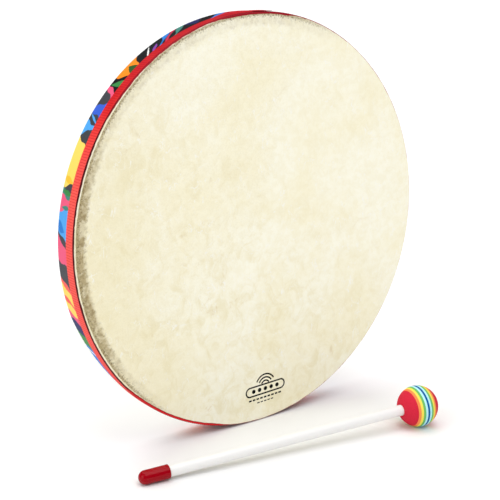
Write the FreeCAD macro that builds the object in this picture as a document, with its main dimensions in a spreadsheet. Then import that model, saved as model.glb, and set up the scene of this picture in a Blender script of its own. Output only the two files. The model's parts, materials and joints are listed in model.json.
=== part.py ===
"""Frame drum with its beater, a parametric FreeCAD document. Sizes are in millimetres.

The drum stands on edge: its axis is Y, the head faces -Y, the open back faces +Y and +Z is up.
The origin is on the drum's axis, halfway through the depth of the shell.
The beater lies in front of the drum, on the level that the drum's rim touches. It slopes a
little, because its ball is thicker than the cap on its grip end.
"""
import FreeCAD, Part
import math
import os
import Sketcher

SIZES = {
    # the drum
    "drum_diameter": (355.6, "across the head's collar, a nominal 14 inch drum"),
    "shell_depth": (25.4, "front edge to back rim, a nominal 1 inch shell"),
    "wall_thickness": (9.5, "of the wood-fibre shell"),
    "bend_round": (0.5, "outer front edge of the shell, which the film bends over"),
    "inner_round": (1.5, "both inner edges of the shell"),
    "back_round": (0.5, "outer back edge of the shell"),
    "glue_thickness": (0.2, "between the shell's outside and the film's collar"),
    "film_thickness": (0.3, "of the head"),
    "collar_end": (-1.4, "place along Y where the head's glued collar stops"),
    "ribbon_width": (10.8, "of the woven ribbon over the collar"),
    "ribbon_thickness": (0.4, "of one layer of the ribbon"),
    "ribbon_setback": (1.1, "from the playing face to the ribbon's front edge"),
    "lap_angle": (6.4, "degrees of rim where the ribbon's end lies on its start"),
    "lap_end_angle": (85.6, "degrees from +X towards +Z to the ribbon's free end"),
    "wrap_thickness": (0.5, "of the printed sheet on the shell, with its backing"),
    "seam_angle": (0.1, "degrees left open where the printed sheet's ends meet"),
    "seam_place_angle": (-62.0, "degrees from +X towards +Z to that seam"),
    # the beater
    "ball_diameter": (36.0, "of the laminated foam ball"),
    "layer_thickness": (2.0, "of each of the ball's nine inner sheets"),
    "beater_length": (280.0, "end to end"),
    "shaft_diameter": (9.5, "of the plastic rod"),
    "seat_layers": (2.5, "layers that the rod goes past the ball's centre"),
    "cap_diameter": (11.5, "outside of the vinyl cap on the grip end"),
    "cap_length": (25.4, "of that cap, with its dome"),
    "dome_depth": (1.5, "how far the rod goes into the cap's dome"),
    "ball_right": (104.1, "from the drum's axis to the ball's centre, along +X"),
    "ball_ahead": (105.4, "from the shell's middle to the ball's centre, along -Y"),
    "beater_yaw": (-10.2, "degrees about +Z of the line from the grip to the ball"),
}

# Sizes that follow from those in the sheet, as expressions.
COLLAR_RADIUS = "(sizes.drum_diameter / 2)"
SHELL_RADIUS = f"({COLLAR_RADIUS} - sizes.film_thickness - sizes.glue_thickness)"
BORE_RADIUS = f"({SHELL_RADIUS} - sizes.wall_thickness)"
GLUE_RADIUS = f"({SHELL_RADIUS} + sizes.glue_thickness)"
FLAT_RADIUS = f"({SHELL_RADIUS} - sizes.bend_round)"
WRAP_RADIUS = f"({SHELL_RADIUS} + sizes.wrap_thickness)"
RIBBON_RADIUS = f"({COLLAR_RADIUS} + sizes.ribbon_thickness)"
LAP_RADIUS = f"({RIBBON_RADIUS} + sizes.ribbon_thickness)"

SHELL_FRONT = "(-sizes.shell_depth / 2)"
SHELL_BACK = "(sizes.shell_depth / 2)"
HEAD_FRONT = f"({SHELL_FRONT} - sizes.film_thickness)"
INNER_BEND = "(sizes.bend_round + sizes.glue_thickness)"
BEND_PLANE = f"({SHELL_FRONT} + {INNER_BEND})"
RIBBON_FRONT = f"({HEAD_FRONT} + sizes.ribbon_setback)"
RIBBON_BACK = f"({RIBBON_FRONT} + sizes.ribbon_width)"
WRAP_BACK = f"({SHELL_BACK} - sizes.back_round)"

BALL_RADIUS = "(sizes.ball_diameter / 2)"
SHAFT_RADIUS = "(sizes.shaft_diameter / 2)"
CAP_RADIUS = "(sizes.cap_diameter / 2)"
CAP_DOME = f"({BALL_RADIUS} + {CAP_RADIUS} - sizes.beater_length)"
CAP_RIM = f"({CAP_DOME} - {CAP_RADIUS} + sizes.cap_length)"
SHAFT_START = f"({CAP_DOME} - sizes.dome_depth)"
SHAFT_END = "(sizes.seat_layers * sizes.layer_thickness)"

# The ball's inner sheets, from the grip side to the tip.
INNER_LAYERS = [
    "orange_grip_side",
    "yellow_grip_side",
    "green_grip_side",
    "cyan_grip_side",
    "blue_centre",
    "cyan_tip_side",
    "green_tip_side",
    "yellow_tip_side",
    "orange_tip_side",
]

doc = FreeCAD.newDocument("FrameDrum")
sheet = doc.addObject("Spreadsheet::Sheet", "sizes")
for row, (alias, (value, meaning)) in enumerate(SIZES.items(), start=1):
    sheet.set(f"A{row}", meaning)
    sheet.set(f"B{row}", str(value))
    sheet.setAlias(f"B{row}", alias)
doc.recompute()


def number(expression):
    """What an expression on the sheet comes to now."""
    return float(sheet.evalExpression(expression))


# Sketches


def new_sketch(body, name, plane):
    """A sketch on one of the body's own origin planes."""
    sketch = body.newObject("Sketcher::SketchObject", name)
    origin_plane = next(o for o in body.Origin.OriginFeatures if o.Role == plane)
    sketch.AttachmentSupport = [(origin_plane, "")]
    sketch.MapMode = "FlatFace"
    return sketch


def short_arc(one_end, other_end, centre):
    """The arc about the centre between two points, the shorter way and anticlockwise."""
    spokes = [one_end - centre, other_end - centre]
    first, last = (math.atan2(spoke.y, spoke.x) for spoke in spokes)
    if (last - first) % (2 * math.pi) > math.pi:
        first, last = last, first
    circle = Part.Circle(centre, FreeCAD.Vector(0, 0, 1), spokes[0].Length)
    return Part.ArcOfCircle(circle, first, last)


def end_at(sketch, edge, place):
    """1 if that edge of the sketch starts at place, and 2 if it ends there."""
    start = sketch.Geometry[edge].StartPoint
    end = sketch.Geometry[edge].EndPoint
    return 1 if start.distanceToPoint(place) < end.distanceToPoint(place) else 2


def outline(body, name, corners, arcs=None):
    """A closed, fully constrained sketch on the body's XY plane.

    corners holds a pair of expressions for each corner, in order. arcs gives (centre x,
    centre y, radius), also expressions, for each corner that a round edge leaves from.
    """
    arcs = arcs or {}
    sketch = new_sketch(body, name, "XY_Plane")
    places = [FreeCAD.Vector(number(x), number(y), 0) for x, y in corners]
    for edge, start in enumerate(places):
        end = places[(edge + 1) % len(places)]
        if edge in arcs:
            centre = FreeCAD.Vector(number(arcs[edge][0]), number(arcs[edge][1]), 0)
            sketch.addGeometry(short_arc(start, end, centre))
        else:
            sketch.addGeometry(Part.LineSegment(start, end))
    for edge, place in enumerate(places):
        last_edge = (edge - 1) % len(places)
        here = (edge, end_at(sketch, edge, place))
        there = (last_edge, end_at(sketch, last_edge, place))
        sketch.addConstraint(Sketcher.Constraint("Coincident", *there, *here))
        for kind, expression in zip(("DistanceX", "DistanceY"), corners[edge]):
            size = Sketcher.Constraint(kind, -1, 1, *here, number(expression))
            made = sketch.addConstraint(size)
            sketch.setExpression(f"Constraints[{made}]", expression)
    for edge, (_, _, radius) in arcs.items():
        made = sketch.addConstraint(Sketcher.Constraint("Radius", edge, number(radius)))
        sketch.setExpression(f"Constraints[{made}]", radius)
    return sketch


# Solids


def new_body(name):
    body = doc.addObject("PartDesign::Body", name)
    body.Label = name
    return body


def revolve(body, sketch, axis, angle="360"):
    """Turns the sketch about its own H_Axis or V_Axis."""
    turned = body.newObject("PartDesign::Revolution", f"{sketch.Name}_turned")
    turned.Profile = sketch
    turned.ReferenceAxis = (sketch, [axis])
    turned.setExpression("Angle", angle)
    doc.recompute()
    return turned


def round_edges(body, rings, size):
    """Rounds the body's circular edges, given as (radius, place along Y) expressions."""
    base = body.Tip
    wanted = [(number(radius), number(place)) for radius, place in rings]
    names = []
    for index, edge in enumerate(base.Shape.Edges, start=1):
        if isinstance(edge.Curve, Part.Circle):
            ring = (edge.Curve.Radius, edge.Curve.Center.y)
            if any(math.dist(ring, other) < 1e-4 for other in wanted):
                names.append(f"Edge{index}")
    rounding = body.newObject("PartDesign::Fillet", f"{body.Name}_{size}")
    rounding.Base = (base, names)
    rounding.setExpression("Radius", f"sizes.{size}")
    doc.recompute()


def hoop(name, inner, outer, front, back, angle="360"):
    """A ring about the drum's axis with a rectangular section."""
    body = new_body(name)
    corners = [(inner, front), (outer, front), (outer, back), (inner, back)]
    sketch = outline(body, f"{name}_section", corners)
    revolve(body, sketch, "V_Axis", angle)
    return body


def turn_about_drum_axis(body, angle):
    """Turns a whole sub-part, so that what starts at +X starts at the angle, towards +Z."""
    turned = f"placement(vector(0; 0; 0); rotation(vector(0; -1; 0); {angle}))"
    body.setExpression("Placement", turned)


# The drum


def shell():
    """The hoop of moulded wood fibre that everything else is glued to."""
    body = hoop("shell_hoop", BORE_RADIUS, SHELL_RADIUS, SHELL_FRONT, SHELL_BACK)
    inner_rings = [(BORE_RADIUS, SHELL_FRONT), (BORE_RADIUS, SHELL_BACK)]
    round_edges(body, inner_rings, "inner_round")
    round_edges(body, [(SHELL_RADIUS, SHELL_FRONT)], "bend_round")
    round_edges(body, [(SHELL_RADIUS, SHELL_BACK)], "back_round")


def adhesive():
    """The layer that holds the film's collar to the outside of the shell."""
    hoop("head_adhesive", SHELL_RADIUS, GLUE_RADIUS, BEND_PLANE, "sizes.collar_end")


def film():
    """The head: flat over the shell's front edge, then round a bend and down the outside."""
    body = new_body("head_film")
    corners = [
        ("0", HEAD_FRONT),
        (FLAT_RADIUS, HEAD_FRONT),
        (COLLAR_RADIUS, BEND_PLANE),
        (COLLAR_RADIUS, "sizes.collar_end"),
        (GLUE_RADIUS, "sizes.collar_end"),
        (GLUE_RADIUS, BEND_PLANE),
        (FLAT_RADIUS, SHELL_FRONT),
        ("0", SHELL_FRONT),
    ]
    arcs = {
        1: (FLAT_RADIUS, BEND_PLANE, f"({INNER_BEND} + sizes.film_thickness)"),
        5: (FLAT_RADIUS, BEND_PLANE, INNER_BEND),
    }
    revolve(body, outline(body, "film_section", corners, arcs), "V_Axis")


def ribbon():
    """The woven ribbon over the collar. Its end is glued down over its start."""
    inner, outer = COLLAR_RADIUS, RIBBON_RADIUS
    body = hoop("edge_ribbon", inner, outer, RIBBON_FRONT, RIBBON_BACK)
    corners = [
        (RIBBON_RADIUS, RIBBON_FRONT),
        (LAP_RADIUS, RIBBON_FRONT),
        (LAP_RADIUS, RIBBON_BACK),
        (RIBBON_RADIUS, RIBBON_BACK),
    ]
    sketch = outline(body, "ribbon_lap", corners)
    revolve(body, sketch, "V_Axis", "sizes.lap_angle")
    turn_about_drum_axis(body, "sizes.lap_end_angle + sizes.lap_angle")


def wrap():
    """The printed sheet round the shell, from the ribbon to the back rim, with its seam."""
    angle = "360 - sizes.seam_angle"
    body = hoop("printed_wrap", SHELL_RADIUS, WRAP_RADIUS, RIBBON_BACK, WRAP_BACK, angle)
    turn_about_drum_axis(body, "sizes.seam_place_angle")


# The beater: each piece has its own X along the shaft and its origin at the ball's centre.


def lay_down(body):
    """Puts a piece of the beater where it lies: ball and cap touch the level of the rim."""
    rise = f"({BALL_RADIUS} - {CAP_RADIUS})"
    base = f"vector(sizes.ball_right; -sizes.ball_ahead; {BALL_RADIUS} - {RIBBON_RADIUS})"
    turn = f"rotation(sizes.beater_yaw * 1 deg; asin({rise} / {CAP_DOME}); 0 deg)"
    body.setExpression("Placement", f"placement({base}; {turn})")


def on_ball(place):
    """How far the ball's surface is from the shaft's axis, at a place along the axis."""
    return f"sqrt({BALL_RADIUS}^2 - {place}^2)"


def turned_piece(name, corners, arcs):
    """A piece of the beater that is round about the shaft's axis."""
    body = new_body(name)
    revolve(body, outline(body, f"{name}_section", corners, arcs), "H_Axis")
    lay_down(body)


def ball():
    """Nine flat foam sheets between two thick red ends, turned to a ball and bored."""
    sphere = ("0", "0", BALL_RADIUS)
    count = len(INNER_LAYERS)
    planes = [f"({step - count / 2} * sizes.layer_thickness)" for step in range(count + 1)]
    for colour, start, end in zip(INNER_LAYERS, planes, planes[1:]):
        bore = SHAFT_RADIUS if number(start) < number(SHAFT_END) else "0"
        rim = [(start, on_ball(start)), (end, on_ball(end))]
        turned_piece(f"ball_{colour}", [(start, bore), *rim, (end, bore)], {1: sphere})

    first, last = planes[0], planes[-1]
    mouth = (f"-{on_ball(SHAFT_RADIUS)}", SHAFT_RADIUS)
    corners = [mouth, (first, on_ball(first)), (first, SHAFT_RADIUS)]
    turned_piece("ball_red_grip_side", corners, {0: sphere})
    corners = [(last, "0"), (last, on_ball(last)), (BALL_RADIUS, "0")]
    turned_piece("ball_red_tip_side", corners, {1: sphere})


def shaft():
    """The plastic rod, from inside the grip cap to the bottom of the ball's bore."""
    body = new_body("beater_shaft")
    sketch = new_sketch(body, "shaft_section", "YZ_Plane")
    sketch.setExpression("AttachmentOffset.Base.z", SHAFT_START)
    centre, up = FreeCAD.Vector(0, 0, 0), FreeCAD.Vector(0, 0, 1)
    sketch.addGeometry(Part.Circle(centre, up, number(SHAFT_RADIUS)))
    sketch.addConstraint(Sketcher.Constraint("Coincident", 0, 3, -1, 1))
    size = Sketcher.Constraint("Radius", 0, number(SHAFT_RADIUS))
    sketch.setExpression(f"Constraints[{sketch.addConstraint(size)}]", SHAFT_RADIUS)
    rod = body.newObject("PartDesign::Pad", "shaft_rod")
    rod.Profile = sketch
    rod.setExpression("Length", f"{SHAFT_END} - {SHAFT_START}")
    lay_down(body)


def grip_cap():
    """The dipped vinyl cap over the rod's end: a sleeve with a round end."""
    corners = [
        (CAP_RIM, SHAFT_RADIUS),
        (CAP_RIM, CAP_RADIUS),
        (CAP_DOME, CAP_RADIUS),
        (f"{CAP_DOME} - {CAP_RADIUS}", "0"),
        (SHAFT_START, "0"),
        (SHAFT_START, SHAFT_RADIUS),
    ]
    turned_piece("grip_cap", corners, {2: (CAP_DOME, "0", CAP_RADIUS)})


# Checks and export


def check_document():
    """Stops if any object failed or any sub-part isn't one valid solid."""
    for thing in doc.Objects:
        if {"Invalid", "Error"} & set(thing.State):
            raise RuntimeError(f"{thing.Label} failed: {thing.State}")
        if thing.TypeId == "Sketcher::SketchObject" and thing.solve() != 0:
            raise RuntimeError(f"the sketch {thing.Label} can't be solved")
    for body in bodies():
        shape = body.Shape
        if shape.isNull() or not shape.isValid() or len(shape.Solids) != 1:
            raise RuntimeError(f"{body.Label} isn't one valid solid")


def bodies():
    return [thing for thing in doc.Objects if thing.TypeId == "PartDesign::Body"]


def export():
    os.makedirs("parts", exist_ok=True)
    for body in bodies():
        body.Shape.exportStep(f"parts/{body.Label}.step")
        box = body.Shape.BoundBox
        low = f"{box.XMin:.1f} {box.YMin:.1f} {box.ZMin:.1f}"
        high = f"{box.XMax:.1f} {box.YMax:.1f} {box.ZMax:.1f}"
        print(f"{body.Label}: {body.Shape.Volume:.0f} mm3, from {low} to {high}")


shell()
adhesive()
film()
ribbon()
wrap()
shaft()
grip_cap()
ball()
doc.recompute()
check_document()
export()
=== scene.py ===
"""The looks of a frame drum and its foam-ball beater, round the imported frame. In metres."""
import json
import math

import bmesh
import bpy
import numpy as np
from mathutils import Matrix, Vector


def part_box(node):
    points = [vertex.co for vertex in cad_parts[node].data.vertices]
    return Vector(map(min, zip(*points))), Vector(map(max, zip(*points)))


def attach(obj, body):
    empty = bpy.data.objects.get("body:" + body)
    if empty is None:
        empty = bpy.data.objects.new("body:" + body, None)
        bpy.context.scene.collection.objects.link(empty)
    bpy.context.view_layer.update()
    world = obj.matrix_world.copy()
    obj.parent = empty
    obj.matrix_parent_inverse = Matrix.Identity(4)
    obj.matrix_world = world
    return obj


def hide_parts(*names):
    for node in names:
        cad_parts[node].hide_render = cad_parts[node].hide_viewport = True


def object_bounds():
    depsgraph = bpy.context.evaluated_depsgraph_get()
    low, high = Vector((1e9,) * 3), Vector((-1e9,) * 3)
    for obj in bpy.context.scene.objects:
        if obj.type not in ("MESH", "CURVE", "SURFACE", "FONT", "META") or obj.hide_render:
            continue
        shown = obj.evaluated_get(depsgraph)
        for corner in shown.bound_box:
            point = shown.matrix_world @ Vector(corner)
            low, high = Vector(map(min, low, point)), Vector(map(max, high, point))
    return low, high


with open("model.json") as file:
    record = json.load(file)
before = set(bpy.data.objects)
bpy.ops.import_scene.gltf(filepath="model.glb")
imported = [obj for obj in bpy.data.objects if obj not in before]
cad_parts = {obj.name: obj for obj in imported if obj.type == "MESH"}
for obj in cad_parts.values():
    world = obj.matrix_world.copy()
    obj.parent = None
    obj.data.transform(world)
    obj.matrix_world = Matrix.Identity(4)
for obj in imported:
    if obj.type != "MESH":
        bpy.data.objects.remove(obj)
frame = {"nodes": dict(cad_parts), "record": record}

CAD_LOW, CAD_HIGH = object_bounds()
MM = 0.001
MOUNTS = {mount["name"]: mount for mount in frame["record"]["mounts"]}
RANDOM = np.random.default_rng(7)


# Places, read from the frame wherever it holds them


def span(node, axis):
    """The lowest and highest coordinate of a CAD node along an axis, 0 to 2."""
    low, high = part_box(node)
    return low[axis], high[axis]


FLOOR = CAD_LOW.z
SHELL_FRONT, SHELL_BACK = span("shell_hoop", 1)
SHELL_RADIUS = span("shell_hoop", 0)[1]
BORE_RADIUS = MOUNTS["shell_bore"]["dims"]["r_mm"] * MM
FILM_FRONT, COLLAR_END = span("head_film", 1)
COLLAR_RADIUS = span("head_film", 0)[1]
GLUE_RADIUS = span("head_adhesive", 0)[1]
RIBBON_FRONT, RIBBON_BACK = span("edge_ribbon", 1)
RIBBON_RADIUS = -span("edge_ribbon", 0)[0]
RIBBON_THICKNESS = RIBBON_RADIUS - COLLAR_RADIUS
WRAP_FRONT, WRAP_BACK = span("printed_wrap", 1)
WRAP_RADIUS = COLLAR_RADIUS
MARK_PLACE = Vector((7 * MM, FILM_FRONT, -145 * MM))

BALL_CENTRE = sum((Vector(corner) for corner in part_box("ball_blue_centre")), Vector()) / 2
CAP_MOUNT = MOUNTS["beater_cap"]
CAP_RADIUS = CAP_MOUNT["dims"]["r_mm"] * MM
CAP_STRAIGHT = CAP_MOUNT["dims"]["length_mm"] * MM
ALONG_BEATER = -Vector(CAP_MOUNT["axis"])
CAP_MIDDLE = (Vector(CAP_MOUNT["pos_m"]) - BALL_CENTRE).dot(ALONG_BEATER)
BALL_RADIUS = BALL_CENTRE.z - FLOOR
BEATER_TURN = ALONG_BEATER.to_track_quat("X", "Z").to_matrix().to_4x4()
BEATER_PLACE = Matrix.Translation(BALL_CENTRE) @ BEATER_TURN
SHAFT_RADIUS = 4.75 * MM
SHAFT_END = 5 * MM
SHEET_THICKNESS = 2 * MM
CAP_DOME = CAP_MIDDLE - CAP_STRAIGHT / 2
CAP_RIM = CAP_MIDDLE + CAP_STRAIGHT / 2
SHAFT_SEAT = CAP_DOME - 1.5 * MM


# Meshes


def add_piece(name, mesh, body, nodes, material):
    """Puts a finished mesh in the scene in place of its CAD nodes."""
    thing = bpy.data.objects.new(name, mesh)
    bpy.context.scene.collection.objects.link(thing)
    mesh.materials.append(material)
    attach(thing, body)
    if nodes:
        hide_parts(*nodes)


def loft(name, rings, closed_round, closed_along, sharp=40):
    """A mesh through rings of points, an array of (rings, points, 3).

    closed_round joins the last ring to the first, and closed_along the last point of each
    ring to its first. With closed_along alone, the two end rings are capped. Edges that bend
    by more than sharp degrees stay sharp.
    """
    count, size = rings.shape[:2]
    index = np.arange(count * size).reshape(count, size)
    ring_steps = count if closed_round else count - 1
    point_steps = size if closed_along else size - 1
    faces = []
    for ring in range(ring_steps):
        here, there = index[ring], index[(ring + 1) % count]
        for point in range(point_steps):
            after = (point + 1) % size
            faces.append((here[point], there[point], there[after], here[after]))
    if closed_along and not closed_round:
        faces.append(tuple(index[0]))
        faces.append(tuple(index[-1][::-1]))
    faces = [tuple(map(int, face)) for face in faces]
    mesh = bpy.data.meshes.new(name)
    mesh.from_pydata(rings.reshape(-1, 3).tolist(), [], faces)
    tidy(mesh)
    mesh.shade_smooth()
    mesh.set_sharp_from_angle(angle=math.radians(sharp))
    return mesh


def tidy(mesh):
    """Joins points that meet and turns every face outwards."""
    edit = bmesh.new()
    edit.from_mesh(mesh)
    bmesh.ops.remove_doubles(edit, verts=edit.verts, dist=1e-7)
    bmesh.ops.recalc_face_normals(edit, faces=edit.faces)
    edit.to_mesh(mesh)
    edit.free()


def rounded(corners, steps=5):
    """An outline with round corners. corners holds (u, v, radius) in order."""
    outline = []
    count = len(corners)
    for number, (u, v, radius) in enumerate(corners):
        here = np.array((u, v))
        if radius == 0:
            outline.append(here)
            continue
        before = np.array(corners[number - 1][:2]) - here
        after = np.array(corners[(number + 1) % count][:2]) - here
        before /= np.linalg.norm(before)
        after /= np.linalg.norm(after)
        half = math.acos(np.clip(before @ after, -1, 1)) / 2
        middle = (before + after) / np.linalg.norm(before + after)
        centre = here + middle * radius / math.sin(half)
        first = here + before * radius / math.tan(half) - centre
        last = here + after * radius / math.tan(half) - centre
        sweep = math.pi - 2 * half
        for step in range(steps + 1):
            share = step / steps
            spoke = math.sin((1 - share) * sweep) * first + math.sin(share * sweep) * last
            outline.append(centre + spoke / math.sin(sweep))
    return np.array(outline)


def turned_on_drum(name, outline, closed, segments=480):
    """Turns an outline of (radius, place along Y) about the drum's axis."""
    angles = np.linspace(0, 2 * np.pi, segments, endpoint=False)
    rings = np.empty((segments, len(outline), 3))
    rings[:, :, 0] = np.outer(np.cos(angles), outline[:, 0])
    rings[:, :, 1] = outline[:, 1]
    rings[:, :, 2] = np.outer(np.sin(angles), outline[:, 0])
    return loft(name, rings, True, closed)


def turned_on_beater(name, outline, closed):
    """Turns an outline of (place along the shaft, radius) about the beater's axis."""
    segments = 96
    angles = np.linspace(0, 2 * np.pi, segments, endpoint=False)
    rings = np.empty((segments, len(outline), 3))
    rings[:, :, 0] = outline[:, 0]
    rings[:, :, 1] = np.outer(np.cos(angles), outline[:, 1])
    rings[:, :, 2] = np.outer(np.sin(angles), outline[:, 1])
    mesh = loft(name, rings, True, closed)
    mesh.transform(BEATER_PLACE)
    return mesh


# Materials

# Directions across the drum, seen from its front.
LEFT = (-0.996, 0, -0.087)
UPPER_LEFT = (-0.866, 0, 0.5)


def principled(name, **fixed):
    """A new material, its node tree and its Principled shader.

    Each fixed value is set on the socket of that name, with underscores for spaces.
    """
    material = bpy.data.materials.new(name)
    material.use_nodes = True
    shader = material.node_tree.nodes["Principled BSDF"]
    for socket, value in fixed.items():
        shader.inputs[socket.replace("_", " ")].default_value = value
    return material, material.node_tree, shader


def add(tree, kind, inputs=None, **settings):
    """A node with its settings, and its inputs as values or as sockets to link from."""
    node = tree.nodes.new(f"ShaderNode{kind}")
    for setting, value in settings.items():
        setattr(node, setting, value)
    for socket, value in (inputs or {}).items():
        if isinstance(value, bpy.types.NodeSocket):
            tree.links.new(value, node.inputs[socket])
        else:
            node.inputs[socket].default_value = value
    return node


def place(tree):
    """Where a point is on its piece, in metres."""
    return add(tree, "TexCoord").outputs["Object"]


def coordinates(tree, vector):
    """The X, Y and Z of a vector."""
    return tuple(add(tree, "SeparateXYZ", {0: vector}).outputs)


def stretched(tree, vector, scale):
    """A vector scaled along each axis. A scale below 1 draws a pattern out along that axis."""
    return add(tree, "Mapping", {"Vector": vector, "Scale": scale}).outputs[0]


def noise(tree, vector, size, detail=4.0, roughness=0.55, distortion=0.0):
    """Noise from 0 to 1 whose features are about that size in metres."""
    inputs = {
        "Vector": vector,
        "Scale": 1 / size,
        "Detail": detail,
        "Roughness": roughness,
        "Distortion": distortion,
    }
    return add(tree, "TexNoise", inputs).outputs["Fac"]


def between(tree, value, low, high, smooth=True, to=(0.0, 1.0)):
    """0 up to low and 1 from high, or to's values. With low above high it falls instead."""
    inputs = {"Value": value, "From Min": low, "From Max": high, "To Min": to[0], "To Max": to[1]}
    kind = "SMOOTHSTEP" if smooth else "LINEAR"
    return add(tree, "MapRange", inputs, interpolation_type=kind).outputs[0]


def calculate(tree, operation, *values):
    """The result of a Math node."""
    return add(tree, "Math", dict(enumerate(values)), operation=operation).outputs[0]


def product(tree, first, *others):
    """Values multiplied together."""
    for other in others:
        first = calculate(tree, "MULTIPLY", first, other)
    return first


def mixed(tree, factor, first, second):
    """Two colours mixed. Each is a socket or (red, green, blue), linear."""
    inputs = {0: factor}
    for socket, colour in ((6, first), (7, second)):
        inputs[socket] = colour if isinstance(colour, bpy.types.NodeSocket) else (*colour, 1)
    return add(tree, "Mix", inputs, data_type="RGBA").outputs[2]


def ramp(tree, factor, stops):
    """A colour ramp with (place, colour) stops."""
    node = add(tree, "ValToRGB", {"Fac": factor})
    node.color_ramp.elements.remove(node.color_ramp.elements[0])
    for number, (where, colour) in enumerate(stops):
        if number == 0:
            element = node.color_ramp.elements[0]
            element.position = where
        else:
            element = node.color_ramp.elements.new(where)
        element.color = (*colour, 1)
    return node.outputs[0]


def bumped(tree, shader, height, distance, strength=1.0):
    """Links a bump of that height map to the shader."""
    inputs = {"Height": height, "Distance": distance, "Strength": strength}
    tree.links.new(add(tree, "Bump", inputs).outputs[0], shader.inputs["Normal"])


def linear(red, green, blue):
    """A screen colour of 0 to 255 as linear light."""
    return tuple(
        c / 12.92 if c <= 0.04045 else ((c + 0.055) / 1.055) ** 2.4
        for c in (red / 255, green / 255, blue / 255)
    )


def grey(level):
    """A grey for a colour socket."""
    return level, level, level, 1


def radius_and_side(tree, where):
    """How far a point is from the drum's axis, and its direction from the axis as a vector."""
    flat = add(tree, "VectorMath", {0: where, 1: (1, 0, 1)}, operation="MULTIPLY").outputs[0]
    length = add(tree, "VectorMath", {0: flat}, operation="LENGTH").outputs["Value"]
    side = add(tree, "VectorMath", {0: flat}, operation="NORMALIZE").outputs[0]
    return length, side


def towards(tree, side, direction):
    """1 where a side faces that direction, 0 at right angles to it, and -1 opposite it."""
    inputs = {0: side, 1: direction}
    return add(tree, "VectorMath", inputs, operation="DOT_PRODUCT").outputs["Value"]


def film_colour(tree, where, mottle):
    """Cream clouds with straw streaks and tan spots, most at the lower left, and pale tufts.
    Towards the left and lower left the film is painted darker: painted shade.
    """
    pale, cream, straw = linear(251, 248, 230), linear(248, 242, 215), linear(233, 222, 180)
    tan, tuft = linear(212, 190, 140), linear(250, 248, 238)
    x, _, z = coordinates(tree, where)
    clouds = noise(tree, where, 90 * MM, 4, 0.55, 0.4)
    colour = mixed(tree, between(tree, clouds, 0.36, 0.62), cream, pale)

    # Streaks and spots are the film's own marks; making them denser towards the lower left is
    # painted shade.
    painted_shade_lower_left = calculate(tree, "MULTIPLY_ADD", x, 0.9, z)
    painted_shade_lower_left = between(tree, painted_shade_lower_left, 110 * MM, -90 * MM, to=(0.3, 1.0))
    streaks = noise(tree, stretched(tree, where, (1.0, 1.0, 0.8)), 15 * MM, 6, 0.66, 0.9)
    streaks = product(tree, between(tree, streaks, 0.45, 0.68, to=(0, 0.55)), painted_shade_lower_left)
    colour = mixed(tree, streaks, colour, straw)
    spots = noise(tree, where, 19 * MM, 5, 0.7, 1.1)
    spots = product(tree, between(tree, spots, 0.6, 0.76, to=(0, 0.5)), painted_shade_lower_left)
    colour = mixed(tree, spots, colour, tan)

    # Painted shade: more straw towards the left side, where the head lies darker in the light.
    painted_shade_left = between(tree, x, -50 * MM, -165 * MM, to=(0, 0.33))
    colour = mixed(tree, painted_shade_left, colour, straw)
    colour = mixed(tree, between(tree, mottle, 0.62, 0.38, to=(0, 0.22)), colour, straw)

    threads = noise(tree, stretched(tree, where, (1.0, 1.0, 0.6)), 9 * MM, 2, 0.5, 1.2)
    off_level = calculate(tree, "ABSOLUTE", calculate(tree, "SUBTRACT", threads, 0.5))
    tufts = between(tree, noise(tree, where, 14 * MM, 3, 0.6), 0.46, 0.6, to=(0, 0.85))
    tufts = product(tree, tufts, between(tree, off_level, 0.02, 0.0))
    return mixed(tree, tufts, colour, tuft)


def film_band(tree, where, colour):
    """The shell's front edge, showing through the film as a ragged band with dark specks. It is
    painted only at the left and upper left, where the light shows it: painted shade.
    """
    brown, fleck = linear(180, 164, 124), linear(134, 116, 76)
    rim_brown, speck = linear(172, 156, 114), linear(108, 90, 54)
    inner_edge, outer_edge = (165.5 * MM, 170.0 * MM), (176.2 * MM, 175.4 * MM)
    rim_edge, speck_edge = (172.6 * MM, 174.8 * MM), (170.5 * MM, 174.4 * MM)
    raggedness, push_at_top = 1.6 * MM, 1.2 * MM
    radius, side = radius_and_side(tree, where)
    _, _, upwards = coordinates(tree, side)
    # Painted shade: the band is drawn only on the sides facing left and upper left.
    at_upper_left = between(tree, towards(tree, side, UPPER_LEFT), -0.05, 0.4)
    at_left = between(tree, towards(tree, side, LEFT), 0.8, 0.98, to=(0, 0.9))
    painted_side_shade = calculate(tree, "MULTIPLY_ADD", at_upper_left, 0.25, at_left)
    ragged = noise(tree, where, 3.5 * MM, 4, 0.7)
    shift = between(tree, ragged, 0.25, 0.75, False, (-raggedness, raggedness))
    push = between(tree, upwards, 0.55, 0.9, to=(0, push_at_top))
    pushed = calculate(tree, "SUBTRACT", radius, push)
    outer = between(tree, calculate(tree, "MULTIPLY_ADD", shift, 0.25, pushed), *outer_edge)
    inner = between(tree, calculate(tree, "ADD", radius, shift), *inner_edge)
    uneven = between(tree, noise(tree, where, 11 * MM, 4, 0.7, 0.6), 0.36, 0.6, to=(0.45, 1.0))

    band = product(tree, inner, outer, painted_side_shade, uneven)
    colour = mixed(tree, product(tree, band, 0.9), colour, brown)
    flecks = product(tree, band, between(tree, ragged, 0.48, 0.6, to=(0, 0.5)))
    colour = mixed(tree, flecks, colour, fleck)
    rim = product(tree, between(tree, pushed, *rim_edge), outer, at_upper_left)
    colour = mixed(tree, product(tree, rim, 0.7), colour, rim_brown)
    speckle = between(tree, noise(tree, where, 1.6 * MM, 3, 0.7), 0.48, 0.62)
    closer = between(tree, pushed, *speck_edge, to=(0.05, 1.0))
    specks = product(tree, speckle, closer, outer, at_upper_left)
    return mixed(tree, product(tree, specks, 0.8), colour, speck)


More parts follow.
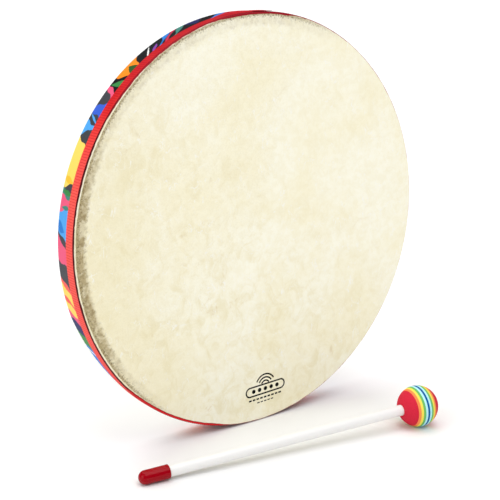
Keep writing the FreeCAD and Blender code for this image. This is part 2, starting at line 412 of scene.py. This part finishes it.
def film_edge(tree, where, colour):
    """A maroon line round the bend, wider at the top, and red outside it at the lower left. The
    maroon line is painted shade in the crease between the bend and the ribbon, darker at the
    left.
    """
    maroon, dark_maroon, red = (0.30, 0.003, 0.012), (0.07, 0.002, 0.005), (0.66, 0.012, 0.015)
    line_edge, red_edge = (177.0 * MM, 177.25 * MM), (177.6 * MM, 177.8 * MM)
    waviness, width_at_top, width_lower = 0.4 * MM, 1.1 * MM, 1.5 * MM
    radius, side = radius_and_side(tree, where)
    _, y, _ = coordinates(tree, where)
    _, _, upwards = coordinates(tree, side)
    left = towards(tree, side, LEFT)
    front = between(tree, y, -11.0 * MM, -11.5 * MM)
    wander = noise(tree, where, 9 * MM, 3, 0.6)
    wander = between(tree, wander, 0.2, 0.8, False, (-waviness, waviness))
    widened = between(tree, upwards, 0.972, 0.992, to=(0, width_at_top))
    lower = product(tree, between(tree, upwards, -0.6, -0.8), between(tree, left, 0.2, 0.4))
    widened = calculate(tree, "MULTIPLY_ADD", lower, width_lower, widened)
    reach = calculate(tree, "ADD", calculate(tree, "ADD", radius, wander), widened)

    # Painted shade: the maroon line stands for the shadowed crease by the ribbon.
    line = product(tree, between(tree, reach, *line_edge), front)
    painted_crease_shade = mixed(tree, between(tree, left, 0.6, 0.85), maroon, dark_maroon)
    colour = mixed(tree, line, colour, painted_crease_shade)
    outside = product(tree, between(tree, reach, *red_edge), front)
    outside = product(tree, outside, between(tree, lower, 0.1, 0.4))
    return mixed(tree, outside, colour, red)


def head_material():
    """A cloudy fibre film, with the shell's edge showing through, painted shade towards its left
    and a line of painted shade at its bend.
    """
    material, tree, shader = principled("cloudy_film", Roughness=0.55, Specular_IOR_Level=0.15)
    where = place(tree)
    mottle = noise(tree, where, 5 * MM, 5, 0.7, 0.3)
    colour = film_colour(tree, where, mottle)
    colour = film_band(tree, where, colour)
    colour = film_edge(tree, where, colour)
    tree.links.new(colour, shader.inputs["Base Color"])
    bumped(tree, shader, mottle, 0.04 * MM, 0.4)
    return material


def ribbon_material():
    """Red ribbed ribbon, with painted shade in the grooves between its ribs and on its front
    edge.

    Its red is painted deeper at the top, paler at the left and dark underneath, as in the
    photograph: painted light and shade.
    """
    # deep, shaded and pale are painted shade and light; the groove and edge colours are painted
    # shade.
    deep, shaded, pale = (0.43, 0.0, 0.008), (0.12, 0.002, 0.003), (0.90, 0.10, 0.08)
    patch, painted_groove_shade, edge = (0.86, 0.06, 0.045), (0.32, 0.001, 0.006), (0.10, 0.001, 0.004)
    material, tree, shader = principled("red_grosgrain", Roughness=0.6, Specular_IOR_Level=0.1)
    where = place(tree)
    _, side = radius_and_side(tree, where)
    _, along, _ = coordinates(tree, where)
    _, _, upwards = coordinates(tree, side)
    threads = noise(tree, where, 0.6 * MM, 3, 0.6)
    patches = noise(tree, where, 14 * MM, 3, 0.6)
    left = between(tree, towards(tree, side, LEFT), 0.72, 0.98)
    colour = mixed(tree, threads, (0.64, 0.010, 0.014), (0.80, 0.026, 0.022))
    # Painted light and shade: deeper red on top, dark underneath, paler where the left side is
    # lit.
    colour = mixed(tree, between(tree, upwards, 0.3, 0.95), colour, deep)
    colour = mixed(tree, between(tree, upwards, -0.78, -0.88), colour, shaded)
    colour = mixed(tree, left, colour, pale)
    colour = mixed(tree, between(tree, patches, 0.3, 0.7, to=(0, 0.15)), colour, patch)
    rib = add(tree, "Attribute", attribute_name="rib").outputs["Fac"]
    # Painted shade in the grooves between the ribs.
    colour = mixed(tree, between(tree, rib, 0.45, 0.0, to=(0, 0.45)), colour, painted_groove_shade)
    # Painted shade on the ribbon's front edge.
    front = between(tree, along, RIBBON_FRONT + 0.35 * MM, RIBBON_FRONT + 0.15 * MM)
    colour = mixed(tree, front, colour, edge)
    tree.links.new(colour, shader.inputs["Base Color"])
    bumped(tree, shader, threads, 0.05 * MM, 0.6)
    return material


def print_material():
    """The printed sheet's inks, from its colour attribute, with a faint grain."""
    worn = (0.8, 0.8, 0.77)
    material, tree, shader = principled("printed_sheet", Roughness=0.5, Specular_IOR_Level=0.15)
    ink = add(tree, "Attribute", attribute_name="ink").outputs["Color"]
    grain = noise(tree, place(tree), 2.2 * MM, 5, 0.7)
    colour = mixed(tree, between(tree, grain, 0.45, 0.85, to=(0.0, 0.02)), ink, worn)
    tree.links.new(colour, shader.inputs["Base Color"])
    bumped(tree, shader, grain, 0.02 * MM, 0.3)
    return material


def shell_material():
    """Pressed wood fibre, in thin rolled layers that show on the back rim."""
    dark, middle, light = linear(92, 62, 38), linear(138, 100, 64), linear(178, 140, 98)
    blotch, joint = linear(112, 78, 48), linear(72, 46, 28)
    layer_pitch = 1.15 * MM
    material, tree, shader = principled("wood_fibre", Roughness=0.78)
    where = place(tree)
    radius, _ = radius_and_side(tree, where)
    wander = noise(tree, where, 18 * MM, 3, 0.6)
    layers = calculate(tree, "MULTIPLY_ADD", radius, 1 / layer_pitch, wander)
    layers = between(tree, calculate(tree, "PINGPONG", layers, 0.5), 0.0, 0.28)
    fibres = noise(tree, stretched(tree, where, (1.0, 3.2, 1.0)), 3.2 * MM, 7, 0.72, 0.6)
    blotches = noise(tree, where, 22 * MM, 5, 0.6, 0.5)
    colour = ramp(tree, fibres, [(0.28, dark), (0.5, middle), (0.72, light)])
    colour = mixed(tree, between(tree, blotches, 0.35, 0.7, to=(0, 0.4)), colour, blotch)
    colour = mixed(tree, between(tree, layers, 1.0, 0.0, to=(0, 0.45)), colour, joint)
    tree.links.new(colour, shader.inputs["Base Color"])
    bumped(tree, shader, fibres, 0.12 * MM, 0.7)
    return material


def adhesive_material():
    """Amber glue, uneven in colour and height."""
    amber, pale = (0.52, 0.40, 0.22), (0.70, 0.60, 0.40)
    material, tree, shader = principled("dried_adhesive", Roughness=0.35)
    drops = noise(tree, place(tree), 3 * MM, 4, 0.6)
    tree.links.new(mixed(tree, drops, amber, pale), shader.inputs["Base Color"])
    bumped(tree, shader, drops, 0.05 * MM)
    return material


def ink_material():
    """Black printing ink, a little worn in places."""
    black, worn = (0.006, 0.005, 0.004), (0.09, 0.07, 0.05)
    material, tree, shader = principled("dark_ink", Roughness=0.6, Specular_IOR_Level=0.1)
    wear = noise(tree, place(tree), 1.2 * MM, 4, 0.7)
    wear = between(tree, wear, 0.55, 0.85, to=(0, 0.25))
    tree.links.new(mixed(tree, wear, black, worn), shader.inputs["Base Color"])
    return material


def shaft_material():
    """White extruded plastic, faintly drawn along its length and uneven in gloss."""
    dull, bright = (0.83, 0.82, 0.81), (0.86, 0.85, 0.84)
    material, tree, shader = principled("white_plastic", Roughness=0.3)
    where = place(tree)
    drawn = noise(tree, stretched(tree, where, (0.05, 1.0, 1.0)), 1.2 * MM, 4, 0.6)
    haze = noise(tree, where, 30 * MM, 3, 0.5)
    gloss = between(tree, haze, 0.3, 0.7, to=(0.30, 0.36))
    tree.links.new(mixed(tree, haze, dull, bright), shader.inputs["Base Color"])
    tree.links.new(gloss, shader.inputs["Roughness"])
    bumped(tree, shader, drawn, 0.005 * MM, 0.3)
    return material


def cap_material():
    """Dipped red vinyl: glossy and deep, with a little orange peel."""
    deep, bright = (0.27, 0.0, 0.004), (0.36, 0.0, 0.008)
    material, tree, shader = principled("red_vinyl", Roughness=0.14, Specular_IOR_Level=0.15)
    where = place(tree)
    peel = noise(tree, where, 2.4 * MM, 3, 0.5)
    tint = noise(tree, where, 7 * MM, 3, 0.5)
    tree.links.new(mixed(tree, tint, deep, bright), shader.inputs["Base Color"])
    bumped(tree, shader, peel, 0.01 * MM, 0.3)
    return material


def foam_material(name, colour):
    """Closed-cell foam in one colour, with fine pores painted a little darker: painted shade."""
    # Painted shade in the pores.
    painted_pore_shade = tuple(channel * 0.8 for channel in colour)
    material, tree, shader = principled(name, Roughness=0.7, Specular_IOR_Level=0.12)
    pores = noise(tree, place(tree), 0.4 * MM, 3, 0.6)
    shade = mixed(tree, between(tree, pores, 0.3, 0.5), painted_pore_shade, colour)
    tree.links.new(shade, shader.inputs["Base Color"])
    bumped(tree, shader, pores, 0.04 * MM, 0.5)
    return material


# The drum


def make_shell():
    """The hoop, with its edges rounded."""
    inside, under_film, at_back = 1.5 * MM, 1.2 * MM, 0.5 * MM
    outline = rounded([
        (BORE_RADIUS, SHELL_FRONT, inside),
        (SHELL_RADIUS, SHELL_FRONT, under_film),
        (SHELL_RADIUS, SHELL_BACK, at_back),
        (BORE_RADIUS, SHELL_BACK, inside),
    ])
    mesh = turned_on_drum("hoop", outline, closed=True)
    add_piece("hoop", mesh, "drum", ["shell_hoop"], shell_material())


def make_film():
    """The head in one piece: the flat film, its bend and its collar."""
    bend = 1.0 * MM
    outline = rounded([
        (0, FILM_FRONT, 0),
        (COLLAR_RADIUS, FILM_FRONT, bend),
        (COLLAR_RADIUS, COLLAR_END, 0),
        (GLUE_RADIUS, COLLAR_END, 0),
        (GLUE_RADIUS, SHELL_FRONT, bend - (COLLAR_RADIUS - GLUE_RADIUS)),
        (0, SHELL_FRONT, 0),
    ], steps=10)
    mesh = turned_on_drum("film", outline, closed=False, segments=900)
    add_piece("film", mesh, "drum", ["head_film"], head_material())


def make_ribbon():
    """One strip of ribbed ribbon, once round the collar and over its own start."""
    rib_pitch, rib_depth, scallop, steps_per_rib = 2.2 * MM, 0.16 * MM, 0.08 * MM, 8
    start, lap, rise = math.radians(92), math.radians(6.4), math.radians(0.4)
    looseness, side_height, flatness = 0.3 * MM, 0.25, 14
    ribs = round(2 * math.pi * RIBBON_RADIUS / rib_pitch)
    lap_ribs = round(lap * RIBBON_RADIUS / rib_pitch)
    count = (ribs + lap_ribs) * steps_per_rib + 1
    turn = np.linspace(0, 2 * math.pi + lap, count)
    angle = start - turn
    lift = np.clip((turn - (2 * math.pi - rise)) / rise, 0, 1)
    lift = lift * lift * (3 - 2 * lift) * RIBBON_THICKNESS
    lift += np.clip((turn - 2 * math.pi) / lap, 0, 1) ** 0.5 * looseness
    wave = np.cos(np.arange(count) * 2 * math.pi / steps_per_rib)

    across = np.array([0, 0.012, 0.04, 0.09, 0.2, 0.4, 0.6, 0.8, 0.91, 0.96, 0.988, 1])
    crown = (1 - np.abs(2 * across - 1) ** flatness) ** 0.5
    crown = side_height + (1 - side_height) * crown
    middle, width = (RIBBON_FRONT + RIBBON_BACK) / 2, RIBBON_BACK - RIBBON_FRONT
    rings = np.empty((count, len(across) + 2, 3))
    for number in range(count):
        base = COLLAR_RADIUS + lift[number]
        thick = RIBBON_THICKNESS - rib_depth * (0.5 - 0.5 * wave[number])
        reach = width - scallop * (1 - wave[number])
        radius = np.append(base + thick * crown, [base, base])
        along = middle + np.append(across - 0.5, [0.5, -0.5]) * reach
        rings[number, :, 0] = radius * math.cos(angle[number])
        rings[number, :, 1] = along
        rings[number, :, 2] = radius * math.sin(angle[number])
    mesh = loft("ribbon", rings, closed_round=False, closed_along=True, sharp=70)
    on_rib = np.repeat(0.5 + 0.5 * wave, len(across) + 2)
    mesh.attributes.new("rib", "FLOAT", "POINT").data.foreach_set("value", on_rib)
    add_piece("ribbon", mesh, "drum", ["edge_ribbon"], ribbon_material())


INKS = {
    "black": linear(16, 16, 20),
    # grey stands for black ink with a painted haze of reflected light on the drum's left side.
    "grey": linear(62, 64, 70),
    "navy": linear(24, 34, 92),
    "purple": linear(128, 62, 160),
    "violet": linear(52, 92, 200),
    "blue": linear(30, 118, 200),
    "sky": linear(74, 158, 228),
    "teal": linear(62, 128, 116),
    "green": linear(52, 130, 66),
    "leaf": linear(40, 84, 34),
    "yellow": linear(248, 208, 96),
    "amber": linear(250, 186, 50),
    "orange": linear(242, 132, 12),
    "salmon": linear(240, 92, 84),
    "pink": linear(228, 84, 122),
    "crimson": linear(190, 34, 72),
    "scarlet": linear(196, 8, 30),
    "white": linear(240, 240, 236),
}

# The print from the top of the drum to its lower left: the angle where each colour starts,
# in degrees from +X towards +Z, the ink, and how far its edge leans across the sheet.
# On the drum's left side the print is painted paler, with grey for black: a painted haze of
# reflected light.
SEEN_PRINT = [
    (96, "scarlet", 0), (98.5, "blue", 8), (100.5, "black", 6), (105.5, "navy", 5),
    (108, "black", -3), (111.3, "teal", 6), (113, "black", 4), (114.6, "crimson", 6),
    (115.8, "black", 5), (116.4, "blue", 6), (117.8, "black", 4), (126.5, "orange", 2.5),
    (132.6, "black", -1.5), (136.3, "pink", 1.8), (137.8, "grey", 2.5), (141.2, "violet", -1.5),
    (144.2, "grey", 1), (146.6, "sky", 1.5), (148.8, "grey", -2), (151.6, "yellow", 2),
    (163, "grey", -1.2), (164.4, "teal", 1.6), (166, "pink", 1.4), (169.2, "sky", -1.2),
    (175.8, "grey", 2.6), (177.4, "pink", 3.4), (182.8, "grey", 1.2), (188, "salmon", 3.2),
    (189.6, "yellow", 3.2), (192.6, "salmon", 2.8), (194, "yellow", 2.6), (196.8, "pink", 2.4),
    (198.7, "navy", 2), (202.5, "green", 2.5), (206.6, "blue", 2.5), (210.0, "white", 24),
]

# The rest of the print can't be seen. Its inks are picked from these at random.
HIDDEN_INKS = [
    "yellow", "grey", "pink", "orange", "black", "teal", "sky", "crimson",
    "black", "salmon", "green", "violet", "yellow", "navy", "orange",
]

# Marks on top: angle, place across the sheet from 0 at the ribbon to 1, half width in
# degrees, half height as a share of the sheet, lean, and ink.
MARKS = [
    (129.4, 0.0, 1.5, 0.75, 0.4, "leaf"), (134.4, 0.1, 1.1, 0.8, -0.6, "green"),
    (121.0, 0.25, 0.8, 0.35, 2.5, "purple"), (123.2, 0.3, 0.3, 0.6, 1.8, "white"),
    (145.4, 0.4, 0.35, 0.6, 1.2, "sky"), (161.6, 0.6, 0.9, 0.6, 0.5, "amber"),
    (164.9, 0.4, 0.7, 0.6, 0.4, "green"), (168.6, 0.3, 0.6, 0.5, 0, "teal"),
    (173.5, 0.75, 1.4, 0.5, 1.2, "blue"), (208.4, 0.4, 0.35, 0.8, 1.5, "white"),
]


def made_up_ink():
    """An ink for the hidden part, at random."""
    return HIDDEN_INKS[int(RANDOM.integers(len(HIDDEN_INKS)))]


def print_bands():
    """The seen part of the print, a made-up rest, and the red by the ribbon's lap."""
    bands = list(SEEN_PRINT)
    angle, made_up_end, red_start = 246.0, 438, 444
    while angle < made_up_end:
        ink = made_up_ink()
        if ink != bands[-1][1]:
            bands.append((angle, ink, float(RANDOM.uniform(-3, 3))))
            angle += float(RANDOM.uniform(1.6, 8.5))
    bands.append((red_start, "scarlet", 2))
    return bands


def print_marks():
    """The seen marks, and made-up ones on the hidden part."""
    marks = list(MARKS)
    made_up_marks = 42
    for _ in range(made_up_marks):
        ink = made_up_ink()
        half_width, half_height = RANDOM.uniform((0.4, 0.2), (1.6, 0.7))
        angle, height = RANDOM.uniform(244, 452), RANDOM.uniform(0, 1)
        marks.append((angle, height, half_width, half_height, RANDOM.uniform(-1, 1), ink))
    return marks


def painted(angles, heights):
    """The print's colour at each angle (96 to 456 degrees) and height across the sheet."""
    wave_size, waves = 0.28, 6.5
    colour = np.empty((*angles.shape, 3))
    colour[:] = INKS["black"]
    for start, ink, lean in print_bands():
        wave = wave_size * np.sin(heights * waves + start)
        colour[angles + lean * (heights - 0.5) + wave >= start] = INKS[ink]
    for angle, height, half_width, half_height, lean, ink in print_marks():
        across = (angles - angle + lean * (heights - height) * 2) / half_width
        up = (heights - height) / half_height
        colour[np.abs(across) + np.abs(up) ** 1.6 < 1] = INKS[ink]
    return colour


def make_wrap():
    """The printed sheet round the shell, with a fine seam, painted point by point."""
    seam, gap = math.radians(-62), math.radians(0.1)
    count, columns, edge = 2880, 24, 0.12 * MM
    first_angle = SEEN_PRINT[0][0]
    angles = np.linspace(seam, seam + 2 * math.pi - gap, count)
    heights = np.linspace(0, 1, columns)
    along = WRAP_FRONT + heights * (WRAP_BACK - WRAP_FRONT)
    outer = np.full(columns, WRAP_RADIUS)
    outer[-1] -= edge
    along = np.concatenate([along, [WRAP_BACK, WRAP_FRONT]])
    radius = np.concatenate([outer, [SHELL_RADIUS, SHELL_RADIUS]])
    rings = np.empty((count, len(along), 3))
    rings[:, :, 0] = np.outer(np.cos(angles), radius)
    rings[:, :, 1] = along
    rings[:, :, 2] = np.outer(np.sin(angles), radius)
    mesh = loft("printed_side", rings, closed_round=False, closed_along=True)

    points = np.empty(len(mesh.vertices) * 3)
    mesh.vertices.foreach_get("co", points)
    x, y, z = points.reshape(-1, 3).T
    degrees = (np.degrees(np.arctan2(z, x)) - first_angle) % 360 + first_angle
    height = (y - WRAP_FRONT) / (WRAP_BACK - WRAP_FRONT)
    colour = np.ones((len(x), 4))
    colour[:, :3] = painted(degrees, height)
    backing = np.hypot(x, z) < SHELL_RADIUS + 0.1 * MM
    colour[backing, :3] = INKS["white"]
    ink = mesh.color_attributes.new("ink", "FLOAT_COLOR", "POINT")
    ink.data.foreach_set("color", colour.ravel())
    add_piece("printed_side", mesh, "drum", ["printed_wrap"], print_material())


def stroke(points, width, depth, closed):
    """Rings of a flat line of that width through points on the head."""
    points = np.array(points)
    if closed:
        before, after = np.roll(points, 1, axis=0), np.roll(points, -1, axis=0)
    else:
        before = np.vstack([2 * points[:1] - points[1:2], points[:-1]])
        after = np.vstack([points[1:], 2 * points[-1:] - points[-2:-1]])
    run = after - before
    run /= np.linalg.norm(run, axis=1)[:, None]
    out = np.stack([-run[:, 1], run[:, 0]], axis=1) * width / 2
    rings = np.empty((len(points), 4, 3))
    for number, (side, y) in enumerate(((1, 0), (1, -depth), (-1, -depth), (-1, 0))):
        flat = points + side * out
        rings[:, number, 0] = flat[:, 0]
        rings[:, number, 1] = y
        rings[:, number, 2] = flat[:, 1]
    return rings


def circle(angles, radius):
    """Points at these angles on a circle about the origin."""
    return np.stack([np.cos(angles), np.sin(angles)], axis=1) * radius


def make_mark():
    """A plain printed mark low on the head: a pill, dots, arcs and two broken lines."""
    depth, width = 0.02 * MM, 1.4 * MM
    pill_half, pill_height, pill_radius = 17 * MM, -4.6 * MM, 4.2 * MM
    arc_height = pill_height + pill_radius - 1.2 * MM
    dots, dot_pitch, dot_radius, dot_width = 5, 6.5 * MM, 1.0 * MM, 1.9 * MM
    bar_gap = 1.1 * MM

    bend = np.linspace(-np.pi / 2, np.pi / 2, 14)
    right_end = circle(bend, pill_radius) + (pill_half, pill_height)
    strokes = [(np.vstack([right_end, right_end[::-1] * (-1, 1)]), width, True)]
    sweep = np.linspace(math.radians(28), math.radians(152), 24)
    for radius in (4.5 * MM, 7.5 * MM, 10.5 * MM):
        strokes.append((circle(sweep, radius) + (0, arc_height), width, False))
    turn = np.linspace(0, 2 * np.pi, 16, endpoint=False)
    for number in range(dots):
        middle = ((number - dots // 2) * dot_pitch, pill_height)
        strokes.append((circle(turn, dot_radius) + middle, dot_width, True))
    for half, height, thick, bars in ((18.5, -12.6, 1.5, 9), (9.5, -16.2, 1.0, 5)):
        ends = np.linspace(-half, half, bars + 1) * MM
        for left, right in zip(ends[:-1], ends[1:] - bar_gap):
            line = np.array([(left, height * MM), (right, height * MM)])
            strokes.append((line, thick * MM, False))

    edit = bmesh.new()
    for points, thick, closed in strokes:
        mesh = loft("stroke", stroke(points, thick, depth, closed), closed, True)
        edit.from_mesh(mesh)
        bpy.data.meshes.remove(mesh)
    mesh = bpy.data.meshes.new("head_mark")
    edit.to_mesh(mesh)
    edit.free()
    tilt = Matrix.Rotation(math.radians(-2), 4, "Y")
    mesh.transform(Matrix.Translation(MARK_PLACE) @ tilt)
    add_piece("head_mark", mesh, "drum", [], ink_material())


# The beater


def sphere_arc(start, end, steps):
    """Points on the ball's outline between two places along the shaft."""
    first, last = (math.acos(np.clip(-x / BALL_RADIUS, -1, 1)) for x in (start, end))
    turn = np.linspace(first, last, steps)
    return np.stack([-np.cos(turn), np.sin(turn)], axis=1) * BALL_RADIUS


FOAMS = {
    "red": linear(206, 36, 60),
    "orange": linear(240, 140, 80),
    "yellow": linear(240, 222, 90),
    "green": linear(110, 184, 100),
    "cyan": linear(182, 236, 242),
    "blue": linear(0, 92, 158),
}

# The thin sheets in order, from the grip's side.
SHEETS = ["orange", "yellow", "green", "cyan", "blue", "cyan", "green", "yellow", "orange"]


def make_ball():
    """Foam sheets between two thick ends, with the edges of each eased."""
    materials = {colour: foam_material(f"{colour}_foam", rgb) for colour, rgb in FOAMS.items()}
    ease, lip = 0.1 * MM, 0.5 * MM
    count = len(SHEETS)
    edges = [(number - count / 2) * SHEET_THICKNESS for number in range(count + 1)]

    def add_foam(colour, side, outline, bored):
        name, node = f"foam_{colour}_{side}", f"ball_{colour}_{side}"
        mesh = turned_on_beater(name, outline, bored)
        add_piece(name, mesh, "beater", [node], materials[colour])

    for number, colour in enumerate(SHEETS):
        start, end = edges[number], edges[number + 1]
        side = {-1: "grip_side", 0: "centre", 1: "tip_side"}[int(np.sign(number - count // 2))]
        bore = SHAFT_RADIUS if start < SHAFT_END else 0
        rim = sphere_arc(start + ease, end - ease, 7)
        low = math.sqrt(BALL_RADIUS ** 2 - start ** 2) - ease
        high = math.sqrt(BALL_RADIUS ** 2 - end ** 2) - ease
        outline = np.vstack([[(start, bore), (start, low)], rim, [(end, high), (end, bore)]])
        add_foam(colour, side, outline, bore > 0)

    first, last = edges[0], edges[-1]
    mouth = -math.sqrt(BALL_RADIUS ** 2 - SHAFT_RADIUS ** 2)
    corner = math.sqrt(BALL_RADIUS ** 2 - first ** 2) - ease
    arc = sphere_arc(mouth + lip / 3, first - ease, 22)
    face = [(first, corner), (first, SHAFT_RADIUS)]
    outline = np.vstack([[(mouth + lip, SHAFT_RADIUS)], arc, face])
    add_foam("red", "grip_side", outline, True)
    arc = sphere_arc(last + ease, BALL_RADIUS, 24)
    add_foam("red", "tip_side", np.vstack([[(last, 0), (last, corner)], arc]), False)


def make_shaft():
    """The rod, from inside the cap to inside the ball."""
    edge = 0.3 * MM
    outline = rounded([
        (SHAFT_SEAT, 0, 0),
        (SHAFT_SEAT, SHAFT_RADIUS, edge),
        (SHAFT_END, SHAFT_RADIUS, edge),
        (SHAFT_END, 0, 0),
    ])
    mesh = turned_on_beater("rod", outline, closed=False)
    add_piece("rod", mesh, "beater", ["beater_shaft"], shaft_material())


def make_cap():
    """The vinyl cap: a domed sleeve with a slightly thicker lip."""
    lip_height, lip_length, inner_edge, outer_edge = 0.08 * MM, 2.2 * MM, 0.25 * MM, 0.35 * MM
    turn = np.linspace(0, np.pi / 2, 16)
    nose = np.stack([CAP_DOME - CAP_RADIUS * np.sin(turn), CAP_RADIUS * np.cos(turn)], axis=1)
    lip = rounded([
        (SHAFT_SEAT, SHAFT_RADIUS, 0),
        (CAP_RIM, SHAFT_RADIUS, inner_edge),
        (CAP_RIM, CAP_RADIUS + lip_height, outer_edge),
        (CAP_RIM - lip_length, CAP_RADIUS, 0),
    ])
    outline = np.vstack([[(SHAFT_SEAT, 0)], lip, nose])
    mesh = turned_on_beater("vinyl_cap", outline, closed=False)
    add_piece("vinyl_cap", mesh, "beater", ["grip_cap"], cap_material())


# The studio

CAMERA_PLACE = Vector((-577.1, -764.9, 225.6)) * MM
CAMERA_TARGET = Vector((-9.65, -12.6, -20.5)) * MM
LENS, SENSOR = 82.5, 36

# Name, azimuth, elevation and width in degrees, and strength.
SUNS = [
    ("key", 0, 66, 45, 1.1),
    ("left", -88, 24, 55, 0.8),
    ("left_core", -95, 30, 8, 0.12),
    ("rear", 180, 70, 50, 1.5),
]


def make_floor():
    """A plain pale floor that reaches past every view."""
    half, white = 40.0, grey(0.86)
    corners = [(x * half, y * half, FLOOR) for x, y in ((-1, -1), (1, -1), (1, 1), (-1, 1))]
    mesh = bpy.data.meshes.new("floor")
    mesh.from_pydata(corners, [], [(0, 1, 2, 3)])
    material, _, shader = principled("white_floor", Roughness=0.9, Specular_IOR_Level=0.1)
    shader.inputs["Base Color"].default_value = white
    mesh.materials.append(material)
    floor = bpy.data.objects.new("floor", mesh)
    bpy.context.scene.collection.objects.link(floor)


def make_world():
    """A white backdrop for the camera, dimmer as a light and nearly dark in reflections."""
    seen, as_light, in_reflections = 1.0, 0.52, 0.06
    world = bpy.data.worlds.new("studio")
    bpy.context.scene.world = world
    world.use_nodes = True
    tree = world.node_tree
    background = tree.nodes["Background"]
    background.inputs["Color"].default_value = grey(as_light)
    backdrop = add(tree, "Background", {"Color": grey(seen)}).outputs[0]
    mirrored = add(tree, "Background", {"Color": grey(in_reflections)}).outputs[0]
    ray = add(tree, "LightPath").outputs
    shaders = {0: ray["Is Glossy Ray"], 1: background.outputs[0], 2: mirrored}
    unseen = add(tree, "MixShader", shaders).outputs[0]
    both = add(tree, "MixShader", {0: ray["Is Camera Ray"], 1: unseen, 2: backdrop}).outputs[0]
    tree.links.new(both, tree.nodes["World Output"].inputs["Surface"])


def add_sun(name, azimuth, elevation, width, strength):
    """A distant light. Azimuth 0 shines along +Y and 90 along -X."""
    light = bpy.data.lights.new(name, "SUN")
    light.energy = strength
    light.angle = math.radians(width)
    turn, rise = math.radians(azimuth), math.radians(elevation)
    source = Vector((
        math.sin(turn) * math.cos(rise), -math.cos(turn) * math.cos(rise), math.sin(rise)
    ))
    lamp = bpy.data.objects.new(name, light)
    lamp.rotation_euler = source.to_track_quat("Z", "Y").to_euler()
    bpy.context.scene.collection.objects.link(lamp)


def make_camera():
    """The camera at the photograph's viewing angle."""
    camera = bpy.data.objects.new("camera", bpy.data.cameras.new("camera"))
    camera.data.lens = LENS
    camera.data.sensor_width = SENSOR
    camera.data.clip_end = 100
    camera.location = CAMERA_PLACE
    towards_target = CAMERA_TARGET - CAMERA_PLACE
    camera.rotation_euler = towards_target.to_track_quat("-Z", "Y").to_euler()
    bpy.context.scene.collection.objects.link(camera)
    bpy.context.scene.camera = camera


make_shell()
make_film()
make_ribbon()
make_wrap()
make_mark()
make_ball()
make_shaft()
make_cap()
adhesive = frame["nodes"]["head_adhesive"].data
adhesive.materials.clear()
adhesive.materials.append(adhesive_material())
make_floor()
make_world()
for sun in SUNS:
    add_sun(*sun)
make_camera()
bpy.context.scene.view_settings.view_transform = "Standard"
